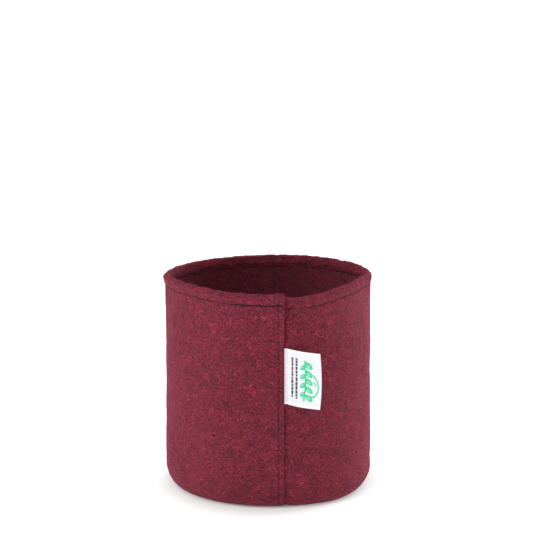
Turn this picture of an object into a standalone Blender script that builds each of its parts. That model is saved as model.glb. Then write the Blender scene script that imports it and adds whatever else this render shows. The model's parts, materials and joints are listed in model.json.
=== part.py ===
"""A round felt grow bag: a lapped wall, a sewn-in base, their stitching and a label caught in the side seam.

The bag stands on z = 0 with its axis on Z. Angles are measured from the front, which is -Y, towards +X.
"""

import math

import bmesh
import bpy

# Bag, in metres
BAG_DIAMETER = 0.3048
BAG_HEIGHT = 0.315
FELT = 0.0025
CORNER_RADIUS = 0.018

# Hem: the wall's top edge, folded inward
HEM_DEPTH = 0.0172
HEM_STITCH_DEPTH = 0.0155
HEM_GAP = 0.0004

# Lap: the wall's outer end over its inner end
LAP_EDGE_DEG = 8.6
LAP_WIDTH = 0.018
LAP_GAP = 0.0014
LAP_STITCH_INSET = 0.008
LAP_STITCH_END = 0.0012
LAP_EASE = 0.032
HEM_EASE = 0.026

# Rim, in (degrees from the front, metres) round the wall from its inner end to its outer end:
# how far it stands above BAG_HEIGHT, and how far outside BAG_DIAMETER / 2 the opening reaches
RIM_RISE = (
    (8.6, -0.0065), (20, -0.0052), (32, -0.0020), (45, 0.0022), (67, 0.0040), (90, 0.0020), (150, 0.0020),
    (180, 0.0008), (210, -0.0004), (240, -0.0004), (270, 0.0015), (292, 0.0034), (315, 0.0034), (345, 0.0),
)
RIM_REACH = (
    (24, 0.0), (45, -0.0034), (60, -0.0060), (75, -0.0060), (90, -0.0008), (105, 0.0),
    (255, 0.0), (270, 0.0005), (285, -0.0038), (300, -0.0038), (320, -0.0025), (340, 0.0),
)
REACH_START = 0.200

# Base seam: both edges turned up inside the bag
BASE_SEAM_RADIUS = 0.129
BASE_SEAM_GAP = 0.0004
SEAM_ALLOWANCE = 0.009
SEAM_FOLD_RADIUS = 0.0018
BASE_STITCH_HEIGHT = 0.007

# Stitching
THREAD = 0.0008
CLEARANCE = 0.0003

# Label
LABEL_LENGTH = 0.058
LABEL_HEIGHT = 0.0815
LABEL_TOP = 0.2363
LABEL_THICKNESS = 0.0005
LABEL_TAB = 0.011
LABEL_TAB_REACH = 0.0004
LABEL_PIVOT_REACH = 0.0012
LABEL_STAND_DEG = 51.0
LABEL_BEND_RADIUS = 0.100
LABEL_STEPS = 8

# Facets
ROUND_COLUMNS = 48
LAP_COLUMNS = 2

RADIUS = BAG_DIAMETER / 2
HALF_FELT = FELT / 2
THREAD_STAND = CLEARANCE + THREAD / 2
THREAD_HOP = THREAD + CLEARANCE
FULL_TURN = 2 * math.pi
LAP_EDGE = math.radians(LAP_EDGE_DEG)
LAP_START = LAP_EDGE - LAP_WIDTH / RADIUS
LAP_STITCH = LAP_EDGE - LAP_STITCH_INSET / RADIUS
WALL_LAP_DEPTH = FELT + LAP_GAP
HEM_LAP_DEPTH = 2 * FELT + HEM_GAP + LAP_GAP

COLLECTION = "fabric_grow_bag"
FELT_COLOUR = (0.22, 0.022, 0.045)
THREAD_COLOUR = (0.055, 0.012, 0.018)
LABEL_COLOUR = (0.85, 0.85, 0.88)


def clear_scene():
    for obj in list(bpy.data.objects):
        bpy.data.objects.remove(obj, do_unlink=True)


def part_collection():
    collection = bpy.data.collections.new(COLLECTION)
    bpy.context.scene.collection.children.link(collection)
    return collection


def material(name, colour, roughness):
    mat = bpy.data.materials.new(name)
    mat.use_nodes = True
    shader = mat.node_tree.nodes["Principled BSDF"]
    shader.inputs["Base Color"].default_value = (*colour, 1.0)
    shader.inputs["Roughness"].default_value = roughness
    shader.inputs["Metallic"].default_value = 0.0
    return mat


def add_object(name, data, colour, roughness):
    obj = bpy.data.objects.new(name, data)
    bpy.data.collections[COLLECTION].objects.link(obj)
    data.materials.append(material(name, colour, roughness))
    return obj


def ease(share):
    """0 to 1 with level ends."""
    share = min(max(share, 0.0), 1.0)
    return share * share * (3 - 2 * share)


def around(angle, radius, height):
    """The point at an angle from the front, on a circle about Z."""
    return (radius * math.sin(angle), -radius * math.cos(angle), height)


def arc(centre, radius, start_deg, end_deg, steps):
    """Points (r, z) on an arc in the profile's plane, ends included."""
    points = []
    for i in range(steps + 1):
        turn = math.radians(start_deg + (end_deg - start_deg) * i / steps)
        points.append((centre[0] + radius * math.cos(turn), centre[1] + radius * math.sin(turn)))
    return points


def wall_angles():
    """Where the wall's columns stand, from its inner end to its outer end one turn and a lap later."""
    lap = [LAP_START + (LAP_EDGE - LAP_START) * i / LAP_COLUMNS for i in range(LAP_COLUMNS)]
    return lap + [LAP_EDGE + FULL_TURN * i / ROUND_COLUMNS for i in range(ROUND_COLUMNS + 1)]


def tucked(angle):
    """1 where the wall runs under its own outer end, easing to 0 beyond the lap."""
    return 1 - ease((angle - LAP_EDGE) * RADIUS / LAP_EASE)


def read_table(table, angle):
    """A table's value at an angle, straight between its rows and level beyond them."""
    degrees = math.degrees(angle)
    if degrees <= table[0][0]:
        return table[0][1]
    for (start, value), (end, next_value) in zip(table, table[1:]):
        if degrees <= end:
            return value + (next_value - value) * (degrees - start) / (end - start)
    return table[-1][1]


def rim_height(angle):
    return BAG_HEIGHT + read_table(RIM_RISE, angle)


def reach(angle, height):
    """How far the wall stands outside its round plan: nothing low down, and the rim's reach at the hem."""
    hem_start = rim_height(angle) - HEM_DEPTH - CLEARANCE
    return read_table(RIM_REACH, angle) * ease((height - REACH_START) / (hem_start - REACH_START))


def wall_profile(angle):
    """The middle of the felt (r, z) at an angle, from the edge inside the base seam to the hem's edge."""
    low = WALL_LAP_DEPTH * tucked(angle)
    high = HEM_LAP_DEPTH * tucked(angle)
    side = RADIUS - HALF_FELT - low
    floor = HALF_FELT + low
    seam = BASE_SEAM_RADIUS + (FELT + BASE_SEAM_GAP) / 2 + low
    corner = CORNER_RADIUS - HALF_FELT - low
    rim = rim_height(angle)
    fold = (FELT + HEM_GAP) / 2
    hem_side = RADIUS - HALF_FELT - high

    profile = [(seam, floor + SEAM_FOLD_RADIUS + SEAM_ALLOWANCE)]
    fold_centre = (seam + SEAM_FOLD_RADIUS, floor + SEAM_FOLD_RADIUS)
    profile += arc(fold_centre, SEAM_FOLD_RADIUS, 180, 270, 2)
    profile += arc((side - corner, floor + corner), corner, 270, 360, 4)
    profile += [(side, BAG_HEIGHT * 0.35), (side, BAG_HEIGHT * 0.65)]
    profile += [(side, rim - HEM_DEPTH - HEM_EASE), (hem_side, rim - HEM_DEPTH - CLEARANCE)]
    profile += arc((hem_side - fold, rim - HALF_FELT - fold), fold, 0, 180, 4)
    profile.append((hem_side - 2 * fold, rim - HEM_DEPTH))
    return [(r + reach(angle, z), z) for r, z in profile]


def sheet(name, columns, thickness, colour, roughness):
    """A sheet through columns of points, made solid to both sides of them."""
    last_column = len(columns) - 1
    last_row = len(columns[0]) - 1
    bm = bmesh.new()
    bmesh.ops.create_grid(bm, x_segments=last_column, y_segments=last_row, size=1.0)
    for vertex in bm.verts:
        column = round((vertex.co.x + 1) / 2 * last_column)
        row = round((vertex.co.y + 1) / 2 * last_row)
        vertex.co = columns[column][row]
    mesh = bpy.data.meshes.new(name)
    bm.to_mesh(mesh)
    bm.free()
    obj = add_object(name, mesh, colour, roughness)
    solidify = obj.modifiers.new("thickness", "SOLIDIFY")
    solidify.thickness = thickness
    solidify.offset = 0.0
    solidify.use_quality_normals = True
    return obj


def make_wall():
    columns = [[around(angle, r, z) for r, z in wall_profile(angle)] for angle in wall_angles()]
    wall = sheet("wall_panel", columns, FELT, FELT_COLOUR, 0.95)
    wall.data.shade_smooth()
    wall.data.set_sharp_from_angle(angle=math.radians(40))


def make_base():
    """A turned disc whose edge folds up against the wall's, drawn down its outer side."""
    side = BASE_SEAM_RADIUS - (FELT + BASE_SEAM_GAP) / 2
    floor = HALF_FELT
    top = floor + SEAM_FOLD_RADIUS + SEAM_ALLOWANCE
    centre = (side - SEAM_FOLD_RADIUS, floor + SEAM_FOLD_RADIUS)
    outline = [(0.0, FELT)]
    outline += arc(centre, SEAM_FOLD_RADIUS - HALF_FELT, 270, 360, 2)
    outline += [(side - HALF_FELT, top), (side + HALF_FELT, top)]
    outline += arc(centre, SEAM_FOLD_RADIUS + HALF_FELT, 360, 270, 3)
    outline.append((0.0, 0.0))

    mesh = bpy.data.meshes.new("base_panel")
    points = [(r, 0.0, z) for r, z in outline]
    mesh.from_pydata(points, [(i, i + 1) for i in range(len(points) - 1)], [])
    base = add_object("base_panel", mesh, FELT_COLOUR, 0.95)
    base.rotation_euler.z = LAP_EDGE - math.pi / 2
    screw = base.modifiers.new("turn", "SCREW")
    screw.axis = "Z"
    screw.steps = ROUND_COLUMNS
    screw.render_steps = ROUND_COLUMNS
    screw.use_merge_vertices = True
    screw.merge_threshold = 0.0001
    screw.use_smooth_shade = False


def thread(name, points, closed=False):
    """A round thread along a path, with filled ends where it is open."""
    curve = bpy.data.curves.new(name, "CURVE")
    curve.dimensions = "3D"
    curve.bevel_depth = THREAD / 2
    curve.bevel_resolution = 1
    curve.use_fill_caps = not closed
    spline = curve.splines.new("POLY")
    spline.points.add(len(points) - 1)
    for target, point in zip(spline.points, points):
        target.co = (*point, 1.0)
    spline.use_cyclic_u = closed
    return add_object(name, curve, THREAD_COLOUR, 0.7)


def make_hem_threads():
    """Round the hem, outside from one side of the lap's edge to the other, and inside likewise."""
    outer = [angle for angle in wall_angles() if LAP_EDGE < angle < LAP_EDGE + FULL_TURN]
    outer = [LAP_EDGE + LAP_STITCH_END / RADIUS] + outer
    outer.append(LAP_EDGE + FULL_TURN - LAP_STITCH_END / RADIUS)
    inner = [angle for angle in wall_angles() if angle < LAP_START + FULL_TURN - 2 * THREAD / RADIUS]

    def path(angles, inset, stand):
        points = []
        for angle in angles:
            height = rim_height(angle) - HEM_STITCH_DEPTH
            radius = RADIUS - HEM_LAP_DEPTH * tucked(angle) + reach(angle, height) - inset + stand
            points.append(around(angle, radius, height))
        return points

    thread("hem_needle_thread", path(outer, 0.0, THREAD_STAND))
    thread("hem_bobbin_thread", path(inner, 2 * FELT + HEM_GAP, -THREAD_STAND))


def make_side_seam_threads():
    """Up the lap, on the outer end's face outside and the inner end's face inside, over the hem's threads."""
    stitch = BAG_HEIGHT - HEM_STITCH_DEPTH
    corner_centre = (RADIUS - CORNER_RADIUS, CORNER_RADIUS)
    outside = RADIUS + THREAD_STAND
    needle = arc(corner_centre, CORNER_RADIUS + THREAD_STAND, 300, 360, 3)
    needle += [(outside, BAG_HEIGHT / 2), (outside, stitch - 2 * THREAD)]
    needle += [(outside + THREAD_HOP, stitch), (outside, stitch + 2 * THREAD)]
    needle.append((outside, BAG_HEIGHT - HEM_DEPTH / 4))

    rim = rim_height(LAP_STITCH)
    stitch = rim - HEM_STITCH_DEPTH
    inside = RADIUS - WALL_LAP_DEPTH - FELT - THREAD_STAND
    hem_inside = RADIUS - HEM_LAP_DEPTH - 2 * FELT - HEM_GAP - THREAD_STAND
    ease_start = rim - HEM_DEPTH - HEM_EASE
    bobbin = [(inside, CORNER_RADIUS + THREAD), (inside, BAG_HEIGHT / 2), (inside, ease_start)]
    bobbin += [(hem_inside, rim - HEM_DEPTH - THREAD), (hem_inside, stitch - 2 * THREAD)]
    bobbin += [(hem_inside - THREAD_HOP, stitch), (hem_inside, stitch + 2 * THREAD)]
    bobbin.append((hem_inside, rim - HEM_DEPTH / 4))

    thread("side_seam_needle_thread", [around(LAP_STITCH, r, z) for r, z in needle])
    thread("side_seam_bobbin_thread", [around(LAP_STITCH, r, z) for r, z in bobbin])


def make_base_seam_threads():
    """Round the turned-up edges of the base seam, on the wall's side and on the base's side."""
    layers = BASE_SEAM_GAP / 2 + FELT + THREAD_STAND
    height = HALF_FELT + BASE_STITCH_HEIGHT
    outer = [angle for angle in wall_angles() if angle < LAP_START + FULL_TURN - 2 * THREAD / RADIUS]
    needle = []
    for angle in outer:
        depth = WALL_LAP_DEPTH * tucked(angle)
        needle.append(around(angle, BASE_SEAM_RADIUS + layers + depth, height + depth))
    bobbin = []
    for column in range(ROUND_COLUMNS):
        angle = LAP_EDGE + FULL_TURN * column / ROUND_COLUMNS
        bobbin.append(around(angle, BASE_SEAM_RADIUS - layers, height))
    thread("base_seam_needle_thread", needle)
    thread("base_seam_bobbin_thread", bobbin, closed=True)


def label_pivot():
    """The label's hinge line: the angle and radius where it leaves the lap."""
    return LAP_EDGE + LABEL_PIVOT_REACH / RADIUS, RADIUS - FELT - LAP_GAP / 2


def make_label_tab():
    """The end of the label that is sewn between the two layers of the lap."""
    radius = label_pivot()[1]
    bottom = LABEL_TOP - LABEL_HEIGHT
    columns = []
    for offset in (-LABEL_TAB, -LABEL_TAB / 2, LABEL_TAB_REACH):
        angle = LAP_EDGE + offset / RADIUS
        columns.append([around(angle, radius, bottom), around(angle, radius, LABEL_TOP)])
    sheet("label_tab", columns, LABEL_THICKNESS, LABEL_COLOUR, 0.4)


def make_label_flap():
    """The free label: it leaves the lap at an angle to the wall and bends back towards it."""
    angle, radius = label_pivot()
    x, y, _ = around(angle, radius, 0.0)
    heading = angle - math.radians(LABEL_STAND_DEG)
    step = LABEL_LENGTH / LABEL_STEPS
    bottom = -LABEL_HEIGHT / 2
    across, out = 0.0, 0.0
    columns = [[(0.0, 0.0, bottom), (0.0, 0.0, -bottom)]]
    for _ in range(LABEL_STEPS):
        heading += step / LABEL_BEND_RADIUS
        across += step * math.cos(heading)
        out += step * math.sin(heading)
        columns.append([(across, out, bottom), (across, out, -bottom)])
    flap = sheet("label_flap", columns, LABEL_THICKNESS, LABEL_COLOUR, 0.4)
    flap.location = (x, y, LABEL_TOP - LABEL_HEIGHT / 2)


def main():
    clear_scene()
    part_collection()
    make_wall()
    make_base()
    make_hem_threads()
    make_side_seam_threads()
    make_base_seam_threads()
    make_label_tab()
    make_label_flap()


main()
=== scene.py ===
"""Looks of the fabric grow bag: felt, stitching and label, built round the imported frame."""

import json
import math

import bmesh
import bpy
import numpy as np
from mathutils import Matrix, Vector


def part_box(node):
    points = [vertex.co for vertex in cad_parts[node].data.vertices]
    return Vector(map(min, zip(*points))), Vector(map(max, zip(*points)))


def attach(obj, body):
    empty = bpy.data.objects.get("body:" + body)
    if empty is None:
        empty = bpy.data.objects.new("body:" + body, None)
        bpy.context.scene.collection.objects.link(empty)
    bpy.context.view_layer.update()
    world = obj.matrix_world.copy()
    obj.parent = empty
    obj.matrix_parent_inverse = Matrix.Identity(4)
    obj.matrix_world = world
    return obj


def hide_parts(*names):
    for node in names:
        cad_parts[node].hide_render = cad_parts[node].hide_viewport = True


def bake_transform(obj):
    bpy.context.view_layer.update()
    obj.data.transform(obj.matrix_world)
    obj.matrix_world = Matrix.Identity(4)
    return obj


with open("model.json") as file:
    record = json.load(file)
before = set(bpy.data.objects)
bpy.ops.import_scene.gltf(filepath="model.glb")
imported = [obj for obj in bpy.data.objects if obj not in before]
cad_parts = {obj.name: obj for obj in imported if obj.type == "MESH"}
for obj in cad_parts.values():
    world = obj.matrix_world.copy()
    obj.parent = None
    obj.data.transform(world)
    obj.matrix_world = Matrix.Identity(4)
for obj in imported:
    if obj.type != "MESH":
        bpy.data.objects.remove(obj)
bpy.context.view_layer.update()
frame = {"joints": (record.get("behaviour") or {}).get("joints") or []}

# ------------------------
# The bag's sizes, read from the frame where it holds them, in metres. The front faces -Y.
# ------------------------
WALL_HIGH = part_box("wall_panel")[1]
BASE_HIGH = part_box("base_panel")[1]
FLAP_LOW, FLAP_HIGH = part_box("label_flap")
HINGE = Vector(frame["joints"][0]["pos_m"])
TURN = 2 * math.pi

FELT = 0.0025
CUT_SWELL = 0.0003
LAP_WIDTH = 0.018
LAP_GAP = 0.0014
LAP_SET_BACK = 0.0012
LAP_EASE = 0.032
FLOOR_EASE = 0.011
RADIUS = math.hypot(HINGE.x, HINGE.y) + FELT + LAP_GAP / 2
LAP_EDGE = math.atan2(HINGE.x, -HINGE.y) - LAP_SET_BACK / RADIUS
LAP_START = LAP_EDGE - LAP_WIDTH / RADIUS
SHEET_LENGTH = TURN * RADIUS + LAP_WIDTH

HIGHEST_RISE = 0.0040
HEIGHT = WALL_HIGH.z - HIGHEST_RISE
HEM_DEPTH = 0.0172
HEM_GAP = 0.0004
# The rim round the bag, in (degrees from the front, metres): its rise over HEIGHT, its reach over RADIUS.
RIM_RISE = (
    (8.6, -0.0068), (20, -0.0054), (32, -0.0020), (45, 0.0022), (67, HIGHEST_RISE), (90, 0.0020),
    (150, 0.0020), (180, 0.0008), (210, -0.0004), (240, -0.0004), (270, 0.0015), (292, 0.0034),
    (315, 0.0034), (345, 0.0),
)
RIM_REACH = (
    (24, 0.0), (45, -0.0034), (60, -0.0066), (75, -0.0066), (90, 0.0), (105, 0.0),
    (255, 0.0), (272, 0.0012), (287, -0.0040), (300, -0.0040), (320, -0.0025), (340, 0.0),
)
REACH_START = 0.200

# The bottom corner round the bag, in (degrees from the front, metres): how far in it reaches, and how far up.
CORNER_REACH = (
    (8.6, 0.0170), (25, 0.0140), (40, 0.0125), (58, 0.0165), (76, 0.0195), (285, 0.0195),
    (305, 0.0190), (325, 0.0175), (350, 0.0175),
)
CORNER_RISE = (
    (8.6, 0.0175), (25, 0.0150), (40, 0.0160), (58, 0.0220), (76, 0.0290), (110, 0.0250),
    (250, 0.0250), (285, 0.0320), (305, 0.0270), (325, 0.0190), (350, 0.0175),
)
SEAM_FOLD = 0.0018
SEAM_RADIUS = BASE_HIGH.x + HEM_GAP / 2
ALLOWANCE = 0.009

# Stitching: how far its rows are from the rim, the lap's end and the base seam's bottom; then their thread.
STITCH_DEPTH = 0.0155
SEAM_INSET = 0.008
BASE_STITCH = 0.007
STITCH_PITCH = 0.0042
BASE_STITCH_PITCH = 0.0045
THREAD_RADIUS = 0.00042
STITCH_SHARE = 0.76
STITCH_STAND = 0.00012

LABEL_LENGTH = 0.058
LABEL_HEIGHT = FLAP_HIGH.z - FLAP_LOW.z
LABEL_TAB = 0.011
LABEL_THICKNESS = 0.0004
LABEL_STAND = math.radians(51)
LABEL_BEND_RADIUS = 0.100
LABEL_LEAVE = 0.0045
LABEL_TILT = math.radians(3.1)
LABEL_BORDER = 0.0040
LABEL_BOW = 0.045
LABEL_CURL = 0.0022
LABEL_RIPPLE = 0.0005
INK_LIFT = 0.00006
INK_SINK = 0.00005

# Cloth coordinates are metres along a sheet. These are added to them, to tell its parts from each other.
BACK_U = 2.0
EDGE_V = 4.0
BASE_EDGE_V = 5.0
BASE_INSIDE_UV = 6.0
BASE_UNDER_UV = 8.0

WAVES = 48
TABLE_BLUR_DEG = 3.0
EDGE_STEPS = 3


def smooth(x):
    """0 to 1 with level ends."""
    x = np.clip(x, 0.0, 1.0)
    return x * x * (3 - 2 * x)


def bump(x, centre, width):
    """1 at the centre, falling away to 0 on both sides."""
    return np.exp(-(((x - centre) / width) ** 2))


def rolling(u, v, seed, shortest, longest):
    """Even, gentle relief over a sheet, about -1 to 1: many plane waves in seeded directions."""
    rng = np.random.default_rng(seed)
    total = np.zeros(np.broadcast(u, v).shape)
    for _ in range(WAVES):
        length = math.exp(rng.uniform(math.log(shortest), math.log(longest)))
        heading, phase = rng.uniform(0, TURN, 2)
        k = TURN / length
        total += np.cos(k * (u * math.cos(heading) + v * math.sin(heading)) + phase)
    return total / math.sqrt(WAVES)


def read_table(table, angle):
    """A table's value at each angle, with its corners rounded off."""
    degrees = np.degrees(angle)
    where, value = zip(*table)
    offsets = np.linspace(-1.5, 1.5, 7)
    weights = np.exp(-(offsets**2))
    total = 0
    for offset, weight in zip(offsets, weights):
        total = total + weight * np.interp(degrees + offset * TABLE_BLUR_DEG, where, value)
    return total / weights.sum()


def ring(angle, seed, orders):
    """Relief round the bag that meets itself after one turn, about -1 to 1."""
    rng = np.random.default_rng(seed)
    total = np.zeros(np.shape(angle))
    for order in orders:
        total = total + np.cos(order * angle + rng.uniform(0, TURN)) / order
    return total


# ------------------------
# Meshes from grids of points
# ------------------------
def grid_faces(rows, columns, offset=0, flip=False, closed=False):
    """Quads over a grid of rows x columns of points, stored row by row."""
    index = offset + np.arange(rows * columns).reshape(rows, columns)
    if closed:
        index = np.concatenate([index, index[:, :1]], axis=1)
    quads = np.stack([index[:-1, :-1], index[:-1, 1:], index[1:, 1:], index[1:, :-1]], axis=-1)
    quads = quads.reshape(-1, 4)
    return quads[:, ::-1] if flip else quads


def mesh_object(name, points, faces, uv, materials):
    """A smooth mesh; uv is None, or holds one pair for each point."""
    mesh = bpy.data.meshes.new(name)
    faces = faces if isinstance(faces, list) else faces.tolist()
    mesh.from_pydata(np.asarray(points).reshape(-1, 3).tolist(), [], faces)
    if uv is not None:
        layer = mesh.uv_layers.new(name="cloth")
        loops = np.empty(len(mesh.loops), np.int32)
        mesh.loops.foreach_get("vertex_index", loops)
        layer.data.foreach_set("uv", np.asarray(uv, np.float32)[loops].ravel())
    for mat in materials:
        mesh.materials.append(mat)
    mesh.shade_smooth()
    mesh.update()
    obj = bpy.data.objects.new(name, mesh)
    bpy.context.scene.collection.objects.link(obj)
    return obj


def surface_normals(points, closed=False):
    """Unit normals of a grid of points (rows, columns, 3), along rows crossed with up columns."""
    if closed:
        around = np.roll(points, -1, axis=1) - np.roll(points, 1, axis=1)
    else:
        around = np.gradient(points, axis=1)
    along = np.gradient(points, axis=0)
    normal = np.cross(around, along)
    return normal / np.maximum(np.linalg.norm(normal, axis=-1, keepdims=True), 1e-12)


def two_sided(middle, thickness, front_relief, back_relief, closed=False):
    """The front and back grids of a sheet, from the grid of its middle."""
    normal = surface_normals(middle, closed)
    front = middle + normal * (thickness / 2 + front_relief)[..., None]
    back = middle - normal * (thickness / 2 + back_relief)[..., None]
    return front, back


def cut_edge(front_edge, back_edge, inner, bulge):
    """Grid across a sheet's cut edge, from its front to its back, swelling away from the inner row."""
    out = (front_edge + back_edge) / 2 - inner
    out = out / np.linalg.norm(out, axis=-1, keepdims=True) * bulge
    rows = []
    for i in range(EDGE_STEPS + 1):
        share = i / EDGE_STEPS
        rows.append(front_edge * (1 - share) + back_edge * share + out * math.sin(math.pi * share))
    return np.array(rows)


def sheet_object(name, front, back, u, v, bulge, materials):
    """A closed sheet from its front and back grids, with a swelling strip along each of its four edges."""
    rows, columns = front.shape[:2]
    size = rows * columns
    points = [front.reshape(-1, 3), back.reshape(-1, 3)]
    faces = [grid_faces(rows, columns), grid_faces(rows, columns, size, flip=True)]
    uv = [np.stack([u, v], -1).reshape(-1, 2), np.stack([u + BACK_U, v], -1).reshape(-1, 2)]
    middle = (front + back) / 2
    thick = float(np.linalg.norm(front[0, 0] - back[0, 0]))
    sides = [
        (front[:, -1], back[:, -1], middle[:, -2], v[:, -1], True),
        (front[:, 0], back[:, 0], middle[:, 1], v[:, 0], False),
        (front[-1], back[-1], middle[-2], u[-1], False),
        (front[0], back[0], middle[1], u[0], True),
    ]
    offset = 2 * size
    for near, far, inner, run, flip in sides:
        strip = cut_edge(near, far, inner, bulge)
        points.append(strip.reshape(-1, 3))
        faces.append(grid_faces(*strip.shape[:2], offset, flip=flip))
        across = np.linspace(0, thick, len(strip))[:, None] + 0 * run
        uv.append(np.stack([run + 0 * across, across + EDGE_V], -1).reshape(-1, 2))
        offset += strip.shape[0] * strip.shape[1]
    obj = mesh_object(name, np.concatenate(points), np.concatenate(faces), np.concatenate(uv), materials)
    weld(obj)
    return obj


def weld(obj):
    """Joins the strips of a cut edge to the faces beside them and turns every face outwards."""
    bm = bmesh.new()
    bm.from_mesh(obj.data)
    bmesh.ops.remove_doubles(bm, verts=bm.verts, dist=1e-6)
    bmesh.ops.recalc_face_normals(bm, faces=bm.faces)
    bm.to_mesh(obj.data)
    bm.free()


# ------------------------
# Materials
# ------------------------
class Nodes:
    """Short calls for building a material's node tree."""

    def __init__(self, name):
        self.material = bpy.data.materials.new(name)
        self.material.use_nodes = True
        self.tree = self.material.node_tree
        self.shader = self.tree.nodes["Principled BSDF"]

    def node(self, kind, inputs=None, **settings):
        made = self.tree.nodes.new(kind)
        for key, value in settings.items():
            setattr(made, key, value)
        for key, value in (inputs or {}).items():
            self.put(made.inputs[key], value)
        return made

    def put(self, socket, value):
        if isinstance(value, bpy.types.NodeSocket):
            self.tree.links.new(value, socket)
        else:
            socket.default_value = value

    def shade(self, **inputs):
        for key, value in inputs.items():
            self.put(self.shader.inputs[key.replace("_", " ")], value)

    def math(self, operation, a, b=0.0):
        return self.node("ShaderNodeMath", {0: a, 1: b}, operation=operation).outputs[0]

    def line(self, value, low, high, low_out=0.0, high_out=1.0, kind="LINEAR"):
        """low_out where the value is low, high_out where it is high, and a straight run between."""
        inputs = {"Value": value, "From Min": low, "From Max": high, "To Min": low_out, "To Max": high_out}
        return self.node("ShaderNodeMapRange", inputs, interpolation_type=kind).outputs[0]

    def ramp(self, *levels):
        """The same with level ends."""
        return self.line(*levels, kind="SMOOTHSTEP")

    def mix(self, share, a, b):
        # A colour mix has its sockets at 0, 6 and 7, and its result at 2.
        return self.node("ShaderNodeMix", {0: share, 6: a, 7: b}, data_type="RGBA").outputs[2]

    def noise(self, vector, scale, detail=2.0, roughness=0.5):
        inputs = {"Vector": vector, "Scale": scale, "Detail": detail, "Roughness": roughness}
        return self.node("ShaderNodeTexNoise", inputs).outputs["Fac"]

    def stretched(self, vector, angle, along, shift=0.0):
        """Coordinates turned by an angle and squeezed along it, so that a noise on them draws fibres."""
        inputs = {"Vector": vector, "Rotation": (0.0, 0.0, angle), "Scale": (along, 1.0, 1.0)}
        inputs["Location"] = (shift, shift * 0.7, 0.0)
        return self.node("ShaderNodeMapping", inputs).outputs[0]

    def bump(self, height, distance, strength=1.0):
        inputs = {"Height": height, "Distance": distance, "Strength": strength}
        return self.node("ShaderNodeBump", inputs).outputs[0]


FIBRE_CRIMSON = (0.43, 0.040, 0.076, 1.0)
FIBRE_RED = (0.160, 0.021, 0.038, 1.0)
# The felt's dark flecks; the same colour also paints shade inside the bag, along the stitching and beside the
# lap.
DARK_FIBRE_AND_SHADE = (0.020, 0.012, 0.019, 1.0)
FIBRE_PINK = (0.36, 0.110, 0.150, 1.0)
WISP_DARK = (0.13, 0.018, 0.03, 1.0)
WISP_LIGHT = (0.42, 0.060, 0.10, 1.0)
SHEEN_RED = (1.0, 0.24, 0.34, 1.0)
# How far the wall's face inside the bag is darkened: painted shade.
INSIDE_PAINTED_SHADE = 0.34
# Each thread's material, and its darkest and lightest tone.
THREAD_TONES = {
    "outside": ("outer_thread", (0.018, 0.006, 0.009, 1.0), (0.075, 0.016, 0.024, 1.0)),
    "inside": ("inner_thread", (0.080, 0.014, 0.022, 1.0), (0.160, 0.028, 0.044, 1.0)),
}


def cloth_vector(n):
    return n.node("ShaderNodeUVMap", uv_map="cloth").outputs[0]


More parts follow.
